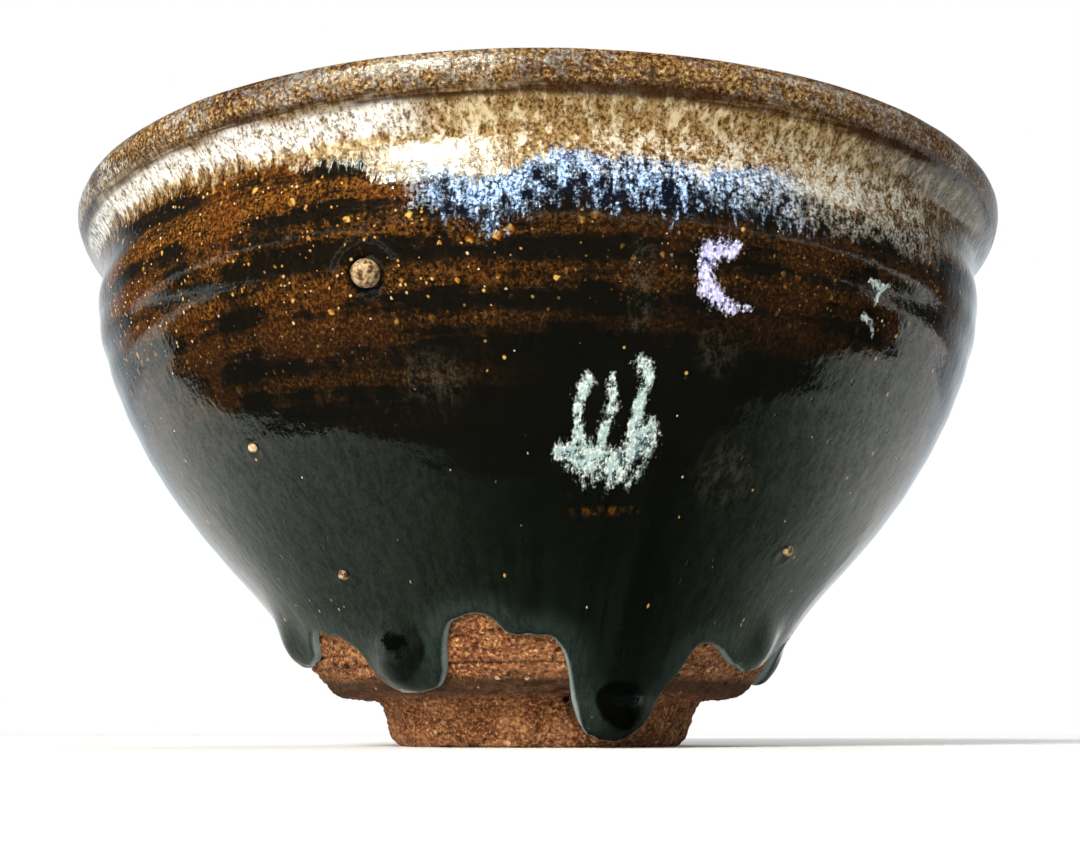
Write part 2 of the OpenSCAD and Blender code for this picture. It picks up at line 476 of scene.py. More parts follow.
def signed_volume(mesh):
    mesh.calc_loop_triangles()
    corners = np.zeros(len(mesh.vertices) * 3)
    mesh.vertices.foreach_get("co", corners)
    corners = corners.reshape(-1, 3)
    triangles = np.zeros(len(mesh.loop_triangles) * 3, int)
    mesh.loop_triangles.foreach_get("vertices", triangles)
    a, b, c = (corners[triangles[i::3]] for i in range(3))
    return float((a * np.cross(b, c)).sum())


def belongs(piece, node, material):
    """Gives the piece its material and its body, and hides the CAD node it takes the place of."""
    piece.data.materials.append(material)
    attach(piece, BODY)
    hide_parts(node)


def stroke(bearing, height, start, end):
    """Distance from a line between two (bearing, height, half width) places on the wall, in half widths."""
    per_degree = wall_radius((start[1] + end[1]) / 2) * math.radians(1)
    dx, dy = (end[0] - start[0]) * per_degree, end[1] - start[1]
    x = turned_by(bearing, start[0]) * per_degree
    y = height - start[1]
    t = np.clip((x * dx + y * dy) / (dx * dx + dy * dy), 0, 1)
    return np.hypot(x - t * dx, y - t * dy) / (start[2] + t * (end[2] - start[2]))


def painted_distance(lines, bearing, height):
    """Distance from the nearest of several lines, in half widths, up to FAR."""
    pairs = [pair for line in lines for pair in zip(line, line[1:])]
    return np.minimum(np.minimum.reduce([stroke(bearing, height, *pair) for pair in pairs]), FAR)


FAR = 9.0

# Splashes and stains on the outside, each a set of brush lines through (bearing, height, half width).
CRESCENT = [
    [(3.2, 30.2, 1.1), (5.3, 30.0, 1.9), (7.6, 29.4, 2.1), (9.6, 29.0, 2.1), (11.8, 29.8, 2.0),
     (13.3, 31.2, 1.4), (14.0, 33.0, 0.8)],
    [(4.9, 31.4, 0.8), (4.6, 33.0, 0.5), (4.7, 35.0, 0.6), (5.6, 36.5, 0.7), (5.3, 37.4, 0.4)],
    [(7.6, 30.8, 0.9), (8.0, 32.4, 0.8), (8.7, 34.6, 0.7), (8.3, 36.8, 0.5)],
    [(12.2, 31.0, 1.1), (11.9, 32.5, 1.0), (11.8, 34.7, 0.8), (12.3, 37.0, 0.7), (11.6, 38.2, 0.9)],
]
LILAC = [
    [(20.4, 49.4, 0.9), (18.2, 49.1, 1.3), (17.2, 47.5, 1.3), (17.5, 45.7, 1.1), (19.0, 44.5, 0.9),
     (20.8, 43.8, 0.7)],
    [(20.8, 43.8, 0.5), (23.4, 44.0, 0.25)],
]
SMALL = [
    [(38.6, 48.8, 0.4), (40.4, 48.4, 0.5), (41.8, 48.9, 0.3)], [(40.4, 48.4, 0.4), (40.0, 46.8, 0.3)],
    [(38.4, 45.4, 0.4), (40.2, 44.8, 0.35), (41.0, 43.8, 0.4)],
    [(140, 35, 2.4), (150, 34, 2.6)], [(141, 36, 1.2), (140, 43, 0.5)], [(148, 36, 1.0), (149, 41, 0.4)],
    [(-122, 45, 1.6), (-117, 44, 1.3)], [(-155, 31, 1.9), (-150, 30, 1.4)], [(-96, 40, 0.9), (-94, 38, 1.1)],
]
GHOSTS = [
    [(10.4, 48.0, 1.0), (10.8, 42.0, 0.8)], [(-12.8, 37.0, 2.0), (-11.2, 36.5, 2.0)],
    [(25.0, 29.2, 2.2), (27.0, 28.2, 2.2)], [(19.6, 40.0, 1.4), (20.8, 39.4, 1.4)],
]
SEAM = [[(4.5, 24.8, 0.4), (14, 25.1, 0.4)]]
# The glassy black middles of the largest drops, a painted dark reflection
DARK_DROP_REFLECTIONS = [
    [(-32.6, 11.6, 2.7), (-28.6, 12.0, 2.7)], [(18.2, 6.2, 2.3), (20.6, 6.0, 2.3)],
    [(134, 9.6, 2.2), (136, 9.6, 2.2)], [(213, 10.2, 2.1), (215, 10.2, 2.1)],
]
PAINTED = {
    "crescent": CRESCENT, "lilac": LILAC, "small": SMALL, "ghosts": GHOSTS, "seam": SEAM, "drop_reflection_ovals": DARK_DROP_REFLECTIONS,
}


def nearness_to_grains(bearing, height):
    """1 at the centre of a grain of grit, falling to 0 within about its own size."""
    near = np.zeros(bearing.shape)
    for centre_bearing, _, size, centre in grains:
        x = turned_by(bearing, centre_bearing) * math.radians(1) * wall_radius(centre[2])
        reach = (0.5 + 0.12 * size) * size
        near = np.maximum(near, 1 - np.hypot(x, height - centre[2]) / reach)
    return near


def store(piece, name, values, elsewhere):
    """Stores a value on each point of the piece's outer side."""
    every = np.full(len(piece.data.vertices), elsewhere)
    every[:values.size] = values.ravel()
    piece.data.attributes.new(name, "FLOAT", "POINT").data.foreach_set("value", every)


def paint(piece, bearings, distances):
    """Stores what the glaze's material needs to know about each place on the outside."""
    radius, height, _, _ = glaze_path.at(distances)
    edge = np.full(distances.shape, FAR)
    low = distances < RUN_TOP + 8
    edge[low] = edge_distance(bearings[low], distances[low], radius[low])
    store(piece, "edge_mm", edge, FAR)
    store(piece, "near_grain", nearness_to_grains(bearings, height), 0.0)
    for name, lines in PAINTED.items():
        store(piece, name, painted_distance(lines, bearings, height), FAR)


def bearings_of(distances):
    """The bearing of each point of a grid whose columns are evenly spaced round the bowl."""
    columns = distances.shape[1]
    return np.broadcast_to(np.arange(columns) * 360 / columns, distances.shape).copy()


def make_skin(name, node, distances, material):
    """A shell of glaze. distances has a row for each ring of its outer side; each ring may wander."""
    bearings = bearings_of(distances)
    hidden = [int(i) for i in np.linspace(len(distances) - 1, 0, 5)]
    front = glaze_surface(bearings, distances)
    back = glaze_back(bearings[hidden], distances[hidden])
    normals = glaze_normals(bearings, distances).reshape(-1, 3)
    piece = make_piece(name, np.concatenate([front, back]), normals)
    if distances.min() < LIP_END:
        paint(piece, bearings, distances)
    belongs(piece, node, material)


def even_rows(start, end, step, columns):
    """Rings about this step apart, as distances along the outline."""
    count = int((end - start) / step) + 1
    return np.repeat(np.linspace(start, end, count)[:, None], columns, 1)


def wall_radius(height):
    return float(glaze_path.at(glaze_path.outside(height))[0])


# ---------------------------------------------------------------- shader helpers

def rgb(code):
    """A linear colour from a web colour."""
    channels = [int(code[i:i + 2], 16) / 255 for i in (1, 3, 5)]
    return tuple(c / 12.92 if c <= 0.04045 else ((c + 0.055) / 1.055) ** 2.4 for c in channels) + (1,)


class Nodes:
    """Builds a node tree. Numbers and sockets can be mixed freely as inputs."""

    def __init__(self, tree):
        self.tree = tree

    def node(self, kind, **settings):
        made = self.tree.nodes.new(kind)
        for key, value in settings.items():
            setattr(made, key, value)
        return made

    def put(self, socket, value):
        if isinstance(value, bpy.types.NodeSocket):
            self.tree.links.new(value, socket)
        elif value is not None:
            socket.default_value = value

    def fill(self, node, *values):
        """Puts the values into the node's first inputs, in order."""
        for socket, value in zip(node.inputs, values):
            self.put(socket, value)

    def math(self, operation, a, b=None, c=None, clamp=False):
        made = self.node("ShaderNodeMath", operation=operation, use_clamp=clamp)
        self.fill(made, a, b, c)
        return made.outputs[0]

    def chain(self, operation, values):
        total = values[0]
        for value in values[1:]:
            total = self.math(operation, total, value)
        return total

    def add(self, *values):
        return self.chain("ADD", values)

    def times(self, *values):
        return self.chain("MULTIPLY", values)

    def most(self, *values):
        return self.chain("MAXIMUM", values)

    def weighted(self, *pairs):
        """The sum of each value times its weight."""
        return self.add(*[self.times(value, weight) for value, weight in pairs])

    def split(self, vector):
        made = self.node("ShaderNodeSeparateXYZ")
        self.put(made.inputs[0], vector)
        return made.outputs

    def join(self, x, y, z):
        made = self.node("ShaderNodeCombineXYZ")
        self.fill(made, x, y, z)
        return made.outputs[0]

    def add_vector(self, vector, shift):
        made = self.node("ShaderNodeVectorMath", operation="ADD")
        self.put(made.inputs[0], vector)
        made.inputs[1].default_value = (shift, shift, shift)
        return made.outputs[0]

    def ramp(self, value, low, high, to_low=0.0, to_high=1.0):
        """Smooth change from to_low at low to to_high at high."""
        made = self.node("ShaderNodeMapRange", interpolation_type="SMOOTHSTEP", clamp=True)
        self.fill(made, value, low, high, to_low, to_high)
        return made.outputs[0]

    def band(self, value, low, high, soft):
        """1 between low and high, with edges this soft to each side, and 0 outside."""
        rise = self.ramp(value, low - soft, low + soft)
        return self.times(rise, self.ramp(value, high - soft, high + soft, 1.0, 0.0))

    def spread(self, noise, amount):
        """A noise centred on 0 and scaled to reach about plus or minus half the amount."""
        return self.times(self.math("SUBTRACT", noise, 0.5), 2 * amount)


class Graph(Nodes):
    """Builds one material. It knows each place by its point, its height and radius in mm, and its bearing."""

    def __init__(self, name):
        self.material = bpy.data.materials.new(name)
        self.material.use_nodes = True
        super().__init__(self.material.node_tree)
        self.shader = self.tree.nodes["Principled BSDF"]
        self.point = self.node("ShaderNodeTexCoord").outputs["Object"]
        x, y, z = self.split(self.point)
        self.height = self.times(z, 1 / MM)
        self.bearing = self.times(self.math("ARCTAN2", x, self.times(y, -1)), 180 / math.pi)
        self.radius = self.times(self.math("SQRT", self.add(self.times(x, x), self.times(y, y))), 1 / MM)
        angle = self.times(self.bearing, math.pi / 180)
        self.turned = self.join(self.math("SINE", angle), self.math("COSINE", angle), self.height)

    def wear(self, **values):
        """Sets the shader's inputs. A socket is linked, and a plain number or colour is set on the input."""
        for key, value in values.items():
            self.put(self.shader.inputs[key.replace("_", " ")], value)

    def wall_point(self, round_scale, up_scale, seed=0.0):
        """Coordinates in mm over the wall, stretched each way, with no seam at the back."""
        made = self.node("ShaderNodeVectorMath", operation="MULTIPLY_ADD")
        self.put(made.inputs[0], self.turned)
        made.inputs[1].default_value = (56 * round_scale, 56 * round_scale, up_scale)
        made.inputs[2].default_value = (0, seed, 0)
        return made.outputs[0]

    def painted(self, name):
        """A value stored on the mesh's points."""
        return self.node("ShaderNodeAttribute", attribute_name=name).outputs["Fac"]

    def noise(self, vector, scale=1.0, detail=2.0, roughness=0.5):
        made = self.node("ShaderNodeTexNoise", noise_dimensions="3D")
        self.put(made.inputs["Vector"], vector)
        made.inputs["Scale"].default_value = scale
        made.inputs["Detail"].default_value = detail
        made.inputs["Roughness"].default_value = roughness
        return made.outputs["Fac"]

    def jittered(self, vector, amount, scale):
        """The vector, pushed about by up to amount, so that what is drawn with it has ragged edges."""
        rough = self.node("ShaderNodeTexNoise", noise_dimensions="3D")
        self.put(rough.inputs["Vector"], vector)
        rough.inputs["Scale"].default_value = scale
        push = self.node("ShaderNodeVectorMath", operation="MULTIPLY_ADD")
        self.put(push.inputs[0], rough.outputs["Color"])
        push.inputs[1].default_value = (amount, amount, amount)
        self.put(push.inputs[2], vector)
        return push.outputs[0]

    def specks(self, vector, scale, size, chance):
        """1 inside scattered specks, each size wide in cells, in this share of the cells."""
        made = self.node("ShaderNodeTexVoronoi", feature="F1")
        self.put(made.inputs["Vector"], self.jittered(vector, 1.6 * size / scale, 2.6 * scale))
        made.inputs["Scale"].default_value = scale
        pick = self.split(made.outputs["Color"])
        keep = self.math("LESS_THAN", pick[0], chance)
        width = self.math("MULTIPLY_ADD", pick[1], size * 0.8, size * 0.4)
        away = self.math("DIVIDE", made.outputs["Distance"], width)
        return self.times(keep, self.ramp(away, 0.6, 1.1, 1.0, 0.0))

    def mix(self, factor, a, b):
        made = self.node("ShaderNodeMix", data_type="RGBA")
        self.put(made.inputs[0], factor)
        self.put(made.inputs[6], rgb(a) if isinstance(a, str) else a)
        self.put(made.inputs[7], rgb(b) if isinstance(b, str) else b)
        return made.outputs[2]

    def tones(self, value, low, high, a, b, most=1.0):
        """Turns colour a into colour b, by up to the share most, as the value goes from low to high."""
        return self.mix(self.ramp(value, low, high, 0.0, most), a, b)

    def away(self, bearing):
        """Degrees from a bearing, from -180 to 180."""
        turned = self.math("ADD", self.bearing, 180.0 - bearing)
        return self.math("SUBTRACT", self.math("WRAP", turned, 360.0, 0.0), 180.0)

    def bump(self, height, distance, strength=1.0, over=None):
        made = self.node("ShaderNodeBump")
        made.inputs["Distance"].default_value = distance * MM
        made.inputs["Strength"].default_value = strength
        self.put(made.inputs["Height"], height)
        if over is not None:
            self.put(made.inputs["Normal"], over)
        return made.outputs[0]


# ---------------------------------------------------------------- materials

class GlazeNoise:
    """The noises that every zone of the iron glaze shares. All run from about 0.25 to 0.75."""

    def __init__(self, g):
        self.grain = g.noise(g.wall_point(1, 1), 2.7, 4, 0.75)
        self.mottle = g.noise(g.wall_point(1, 0.8, 7), 0.9, 5, 0.7)
        self.fur = g.noise(g.wall_point(1, 0.22, 3), 1.3, 4, 0.7)
        self.clouds = g.noise(g.wall_point(1, 1, 11), 0.11, 3, 0.55)
        self.lines = g.noise(g.wall_point(0.07, 1, 5), 0.8, 4, 0.65)
        self.veins = g.noise(g.wall_point(0.8, 0.07, 9), 0.45, 3, 0.6)


def iron_glaze(name, inside=False):
    """Thick iron glaze: mottled tan over the lip, pale fur below it, then amber-brown and nearly black."""
    g = Graph(name)
    n = GlazeNoise(g)
    colour = dark_glaze(g, n)
    colour, amber_reach = amber_zone(g, n, colour, inside)
    colour = glaze_specks(g, n, colour, amber_reach)
    colour, crystals = pale_band(g, n, colour)
    colour, lip = lip_zone(g, n, colour)
    if not inside:
        colour, white = splashes(g, n, colour)
        crystals = g.most(crystals, white)
        colour = around_grains(g, n, colour)
        colour = thin_edge_and_reflections(g, n, colour)
    rough = g.add(g.ramp(n.mottle, 0.3, 0.7, 0.04, 0.1), g.times(crystals, 0.05), g.times(lip, 0.06))
    shine = g.weighted((n.mottle, 0.5), (n.grain, 0.5))
    skin = g.bump(g.noise(g.wall_point(1, 1, 41), 1.1, 3, 0.55), 0.04)
    skin = g.bump(g.times(n.mottle, g.most(crystals, lip)), 0.11, over=skin)
    skin = g.bump(g.times(n.grain, g.most(crystals, lip)), 0.04, over=skin)
    skin = g.bump(g.specks(g.wall_point(1, 1, 51), 0.5, 0.14, 0.3), -0.06, over=skin)
    g.wear(Base_Color=colour, Roughness=rough, Normal=skin, IOR=1.6, Specular_Tint=(0.84, 0.97, 0.92, 1),
           Specular_IOR_Level=g.ramp(shine, 0.36, 0.64, 0.2, 0.62))
    return g.material


def dark_glaze(g, n):
    """Nearly black, turning to a very dark bottle green low on the wall."""
    black = g.mix(n.clouds, "#060604", "#0b0b08")
    bottle = g.tones(g.weighted((n.veins, 0.6), (n.mottle, 0.4)), 0.36, 0.64, "#060906", "#0e140e")
    low = g.ramp(g.add(g.height, g.spread(n.veins, 4.0)), 34, 12)
    return g.mix(low, black, bottle)


RIDGE_TURN = 2 * math.pi / RILL_PITCH


def amber_zone(g, n, colour, inside):
    """Amber-brown where the throwing ridges leave the glaze thin. Also gives how far the zone reaches."""
    warped = g.add(g.height, g.spread(n.clouds, 2.0), g.spread(n.mottle, 1.6))
    left = g.math("SUBTRACT", g.ramp(g.bearing, -150, -80), g.ramp(g.bearing, -20, 5))
    right = g.math("SUBTRACT", g.ramp(g.bearing, 22, 50), g.ramp(g.bearing, 110, 160))
    if inside:
        reach = g.times(g.ramp(warped, 34, 52), 0.9)
    else:
        fading = g.ramp(warped, 39, 54, 0.22, 1.0)
        reach = g.most(g.times(left, g.band(warped, 35, 61, 4.0), fading),
                       g.times(right, g.band(warped, 52, 60, 2.0), 0.55),
                       g.times(g.band(warped, 42, 60, 4.0), g.ramp(g.bearing, -8, 8, 0.6, 0.28)))
    wandering = g.add(g.height, -RILL_PHASE, g.spread(n.clouds, 1.6), g.spread(n.lines, 1.2))
    ridge = g.math("SINE", g.times(wandering, -RIDGE_TURN))
    thin = g.add(g.times(ridge, 0.2), g.spread(n.lines, 0.7), g.spread(n.mottle, 0.5),
                 g.spread(n.clouds, 0.8), 0.06)
    amount = g.times(reach, g.ramp(thin, -0.16, 0.34, 0.04, 1.0))
    brown = g.tones(n.grain, 0.4, 0.62, "#150b03", "#663e14")
    brown = g.tones(n.grain, 0.56, 0.72, brown, "#a0722e", 0.85)
    brown = g.tones(n.clouds, 0.5, 0.62, brown, "#4a200a", 0.3)
    return g.mix(g.math("MULTIPLY", amount, 1.0, clamp=True), colour, brown), reach


def glaze_specks(g, n, colour, reach):
    """Orange, yellow and pale specks, thick in the amber and rare elsewhere."""
    warm = g.specks(g.wall_point(1, 1, 21), 0.75, 0.3, 0.3)
    shown = g.ramp(reach, 0.12, 0.6, 0.0, 0.85)
    colour = g.mix(g.times(warm, shown, g.ramp(n.grain, 0.36, 0.56, 0.3, 1.0)), colour,
                   g.tones(n.mottle, 0.42, 0.58, "#7a430f", "#c59a4c"))
    small = g.specks(g.wall_point(1, 1, 27), 1.9, 0.3, 0.16)
    colour = g.mix(g.times(small, shown, 0.85), colour, g.tones(n.clouds, 0.42, 0.6, "#b3803c", "#d3c092"))
    rare = g.specks(g.wall_point(1, 1, 31), 0.55, 0.13, 0.1)
    colour = g.mix(g.times(rare, 0.85), colour, "#b08a48")
    white = g.specks(g.wall_point(1, 1, 37), 0.8, 0.1, 0.07)
    return g.mix(g.times(white, 0.8), colour, "#c9c6ba")


def pale_band(g, n, colour):
    """Crystals under the lip: blue-white fur in front, grey haze to its right, and a white line to its left,
    partly a painted highlight.
    """
    level = g.add(g.height, g.spread(n.clouds, 1.6), g.spread(n.mottle, 1.0))
    hairy = g.add(level, g.spread(n.fur, 3.2))
    behind = g.ramp(g.math("ABSOLUTE", g.bearing), 72, 84)
    patches = g.ramp(g.noise(g.wall_point(1, 0.1, 61), 0.045, 1, 0.5), 0.44, 0.54)
    front = g.math("SUBTRACT", g.ramp(g.bearing, -14, -8), g.ramp(g.bearing, 22, 32))
    cool = g.most(front, g.times(behind, patches))
    right = g.math("SUBTRACT", g.ramp(g.bearing, 14, 26), g.ramp(g.bearing, 40, 56))
    milk = g.most(right, g.times(behind, 0.8))
    left = g.math("SUBTRACT", 1.0, g.ramp(g.bearing, -16, -9))

    # mottled tan from the throat down to the fur
    tan = g.tones(n.grain, 0.38, 0.62, "#3a2611", "#8d7247")
    tan = g.tones(n.mottle, 0.48, 0.64, tan, "#bcab88", 0.85)
    tan_low = g.ramp(g.bearing, -30, -9, 59.6, 55.4)
    tan_amount = g.times(g.ramp(hairy, g.math("SUBTRACT", tan_low, 0.9), g.math("ADD", tan_low, 0.9)),
                         g.ramp(g.bearing, -70, -52, 0.35, 1.0), g.ramp(g.bearing, 26, 50, 1.0, 0.3))
    colour = g.mix(tan_amount, colour, tan)

    # blue-white crystals over deep blue-black
    drip = g.times(g.ramp(g.math("ABSOLUTE", g.away(-5)), 2, 7, 1.0, 0.0), 2.2)
    fur_level = g.add(hairy, drip)
    zone = g.times(g.band(fur_level, 52.2, 57.2, 0.6), cool)
    colour = g.mix(g.times(zone, 0.9), colour, "#070c18")
    mixed = g.weighted((n.fur, 0.25), (n.mottle, 0.4), (n.grain, 0.35))
    cover = g.ramp(g.add(mixed, g.ramp(fur_level, 52.5, 57.5, -0.03, 0.05)), 0.47, 0.56)
    ice = g.tones(n.grain, 0.4, 0.55, "#2a487a", "#8fabcc")
    ice = g.tones(n.grain, 0.53, 0.7, ice, "#cfdbe4")
    crystals = g.times(zone, cover)
    colour = g.mix(crystals, colour, ice)

    # white haze over the tan, and a grey one to the right
    haze_zone = g.times(g.band(level, 55.6, 60.2, 1.0), g.most(cool, milk))
    cloudy = g.weighted((n.mottle, 0.6), (n.clouds, 0.25), (n.grain, 0.3))
    haze = g.times(haze_zone, g.ramp(cloudy, 0.56, 0.68, 0.0, 0.7))
    colour = g.mix(haze, colour, g.tones(n.grain, 0.4, 0.6, "#8c8575", "#c9c8c0"))
    grey_zone = g.times(g.band(level, 53.0, 60.5, 1.4), milk)
    grey = g.times(grey_zone, g.ramp(g.weighted((n.mottle, 0.6), (n.grain, 0.5)), 0.48, 0.66, 0.0, 0.75))
    colour = g.mix(grey, colour, g.tones(n.grain, 0.38, 0.62, "#3d3a30", "#a5a192"))

    # the white line on the left: pale glaze, partly a painted highlight on the throat
    low_side = g.ramp(g.bearing, -45, -18, 60.7, 60.1)
    rise = g.ramp(g.math("SUBTRACT", g.add(level, g.spread(n.fur, 1.2)), low_side), -0.5, 0.6)
    white_line_and_highlight_zone = g.times(left, rise, g.ramp(level, 62.0, 63.2, 1.0, 0.0),
                         g.ramp(g.math("ABSOLUTE", g.bearing), 68, 86, 1.0, 0.3))
    white = g.times(white_line_and_highlight_zone, g.ramp(mixed, 0.4, 0.55, 0.1, 0.95))
    colour = g.mix(white, colour, g.tones(n.grain, 0.35, 0.56, "#9a907c", "#dcdcd8"))
    return colour, g.most(crystals, haze, grey, white, g.times(tan_amount, 0.6))


def lip_zone(g, n, colour):
    """The dark crease under the lip, and the lip, where the glaze runs thin and shows tan and brown."""
    level = g.add(g.height, g.spread(n.grain, 0.5), g.spread(n.clouds, 0.5))
    crease = g.times(g.band(level, 62.5, 63.8, 0.35), g.ramp(n.lines, 0.36, 0.5, 0.5, 1.0))
    lip = g.ramp(level, 63.0, 64.0)
    tan = g.tones(n.grain, 0.4, 0.62, "#301c0c", "#84653a")
    tan = g.tones(n.grain, 0.55, 0.7, tan, "#bba57a", 0.9)
    streak = g.weighted((n.lines, 0.55), (n.mottle, 0.45))
    tan = g.tones(streak, 0.49, 0.58, tan, "#2c1509", 0.85)
    cloudy = g.weighted((n.mottle, 0.6), (n.clouds, 0.4))
    grey = g.times(g.ramp(cloudy, 0.48, 0.58), g.ramp(g.math("ABSOLUTE", g.bearing), 22, 50, 0.3, 0.75))
    tan = g.mix(grey, tan, g.tones(n.grain, 0.4, 0.6, "#5c564a", "#b9b7ac"))
    tan = g.tones(g.bearing, 14, 40, tan, "#2c190d", 0.5)
    colour = g.mix(lip, colour, tan)
    return g.mix(g.times(crease, 0.92), colour, "#241006"), lip


def splashes(g, n, colour):
    """White splashes: a crescent with fingers at the front, a lilac one above it, and others elsewhere."""
    broken = g.add(g.spread(n.mottle, 1.0), g.spread(n.grain, 0.6), g.spread(n.fur, 0.4))

    def shown(name):
        return g.ramp(g.add(g.times(g.painted(name), -0.6), broken), -0.58, -0.2)

    white, lilac = g.most(shown("crescent"), g.times(shown("small"), 0.8)), shown("lilac")
    milk = g.tones(n.mottle, 0.42, 0.56, "#34505a", "#94aaa8")
    milk = g.tones(n.grain, 0.48, 0.64, milk, "#dfe3d8")
    violet = g.tones(n.mottle, 0.4, 0.54, "#4a4880", "#aaa6cc")
    violet = g.tones(n.grain, 0.48, 0.64, violet, "#e4e0ee")
    colour = g.mix(g.times(lilac, 0.95), g.mix(g.times(white, 0.95), colour, milk), violet)

    # faint haze that only just shows in the black, and one thin brown line
    ghosts = g.times(g.ramp(g.painted("ghosts"), 0.3, 1.9, 0.24, 0.0),
                     g.ramp(g.weighted((n.mottle, 0.6), (n.grain, 0.4)), 0.44, 0.6))
    colour = g.mix(ghosts, colour, "#504a3c")
    seam = g.times(g.ramp(g.painted("seam"), 0.3, 1.5, 0.5, 0.0), g.ramp(n.mottle, 0.44, 0.6))
    return g.mix(seam, colour, "#5a3a12"), g.most(white, lilac)


def around_grains(g, n, colour):
    """The glaze is nearly black round each grain of grit, over the crater where it draws back."""
    ring = g.add(g.painted("near_grain"), g.spread(n.mottle, 0.25))
    return g.tones(ring, 0.12, 0.34, colour, "#050403")


def thin_edge_and_reflections(g, n, colour):
    """Slate towards the glaze's thin lower edge, partly a painted reflection of the pale floor, and a pale
    line at the edge, a painted reflection. The largest drops are black inside, a painted dark reflection.
    """
    painted_drop_reflection = g.add(g.painted("drop_reflection_ovals"), g.spread(n.mottle, 0.08))
    edge = g.add(g.painted("edge_mm"), g.spread(n.grain, 0.2))
    # slate towards the lower edge: partly the thin glaze, partly a painted reflection of the pale floor
    slate = g.times(g.ramp(edge, 1.0, 4.5, 0.65, 0.0), g.ramp(n.mottle, 0.36, 0.6, 0.5, 1.0))
    colour = g.mix(slate, colour, "#262e2b")
    # painted dark reflection: the black middles of the largest drops
    colour = g.mix(g.ramp(painted_drop_reflection, 0.9, 1.1, 1.0, 0.0), colour, "#030403")
    # painted reflection: a pale line along the glaze's lower edge
    return g.mix(g.ramp(edge, 0.1, 0.55, 0.8, 0.0), colour, "#7b8886")


def pool_material():
    """Black glass with a blue-grey bloom, stronger towards the pool's rim."""
    g = Graph("pool_glaze")
    bloom = g.noise(g.point, 260, 4, 0.65)
    rim = g.ramp(g.radius, 5, 12)
    bloomed = g.times(g.ramp(bloom, 0.5, 0.75), g.ramp(g.radius, 3, 11, 0.12, 0.5))
    colour = g.mix(bloomed, "#07090b", "#3d5468")
    g.wear(Base_Color=g.mix(g.times(rim, 0.4), colour, "#0a0908"), IOR=1.6,
           Roughness=g.ramp(bloom, 0.3, 0.8, 0.04, 0.12), Normal=g.bump(g.noise(g.point, 900, 2), 0.03))
    return g.material


def clay_material():
    """Bare stoneware, burnt orange-brown and gritty, with turning lines and dark pits."""
    g = Graph("fired_clay")
    grain = g.noise(g.point, 2300, 5, 0.75)
    patch = g.noise(g.point, 210, 3, 0.6)
    lines = g.noise(g.wall_point(0.08, 1, 5), 1.8, 4, 0.65)
    colour = g.tones(patch, 0.38, 0.62, "#74401f", "#95603a")
    colour = g.tones(grain, 0.5, 0.63, colour, "#cf9a62", 0.9)
    colour = g.tones(grain, 0.48, 0.38, colour, "#361a0d", 0.9)
    colour = g.tones(lines, 0.52, 0.66, colour, "#472616", 0.4)
    # painted shade: a dark band under the ledge, standing for the ledge's shadow on the top of the foot ring
    colour = g.mix(g.times(g.band(g.height, 6.1, 7.9, 0.5), 0.85), colour, "#3a2410")
    pale = g.specks(g.point, 900, 0.26, 0.16)
    colour = g.mix(g.times(pale, 0.85), colour, "#cfa67c")
    dark = g.specks(g.add_vector(g.point, 0.4), 620, 0.25, 0.2)
    colour = g.mix(g.times(dark, 0.9), colour, "#20100c")
    skin = g.bump(grain, 0.6)
    skin = g.bump(g.noise(g.point, 950, 3, 0.7), 0.35, over=skin)
    skin = g.bump(lines, 0.3, over=skin)
    skin = g.bump(dark, -0.25, over=skin)
    rough = g.ramp(grain, 0.3, 0.7, 0.72, 0.95)
    g.wear(Base_Color=colour, Roughness=rough, Specular_IOR_Level=0.3, Normal=skin)
    return g.material


def grit_material():
    """Half-melted feldspar, cream with brown between."""
    g = Graph("feldspar_grit")
    grain = g.noise(g.point, 1300, 4, 0.65)
    colour = g.tones(grain, 0.42, 0.56, "#4a2f1c", "#a88e66")
    colour = g.tones(grain, 0.58, 0.7, colour, "#d8cbb0")
    g.wear(Base_Color=colour, Roughness=g.ramp(grain, 0.3, 0.7, 0.2, 0.5), Normal=g.bump(grain, 0.2))
    return g.material


def floor_material():
    """Plain and pale under the bowl, and as white as the background far away."""
    g = Graph("pale_floor")
    tone = g.noise(g.point, 6, 2, 0.5)
    far = g.ramp(g.radius, 220, 900)
    near = g.mix(tone, "#e6e5e2", "#eae9e6")
    g.wear(Base_Color=g.mix(far, near, "#000000"), Emission_Color=(1, 1, 1, 1), Emission_Strength=far,
           Roughness=1.0, Specular_IOR_Level=0.0)
    return g.material


# ---------------------------------------------------------------- clay

BARE_TO = clay_path.outside(15.2)
turn_marks = lattice(12, 9, 0.7)
turn_marks_fine = lattice(13, 24, 0.33)
grit_bumps = lattice(14, 210, 0.75)
grit_pits = lattice(15, 160, 0.9)
edge_chips = lattice(16, 60, 2.5)
crack_wander = lattice(17, 36, 4)
CRACKS = [(height, lattice(18 + i, 11, 5)) for i, height in enumerate((4.1, 8.0, 9.1, 10.4))]


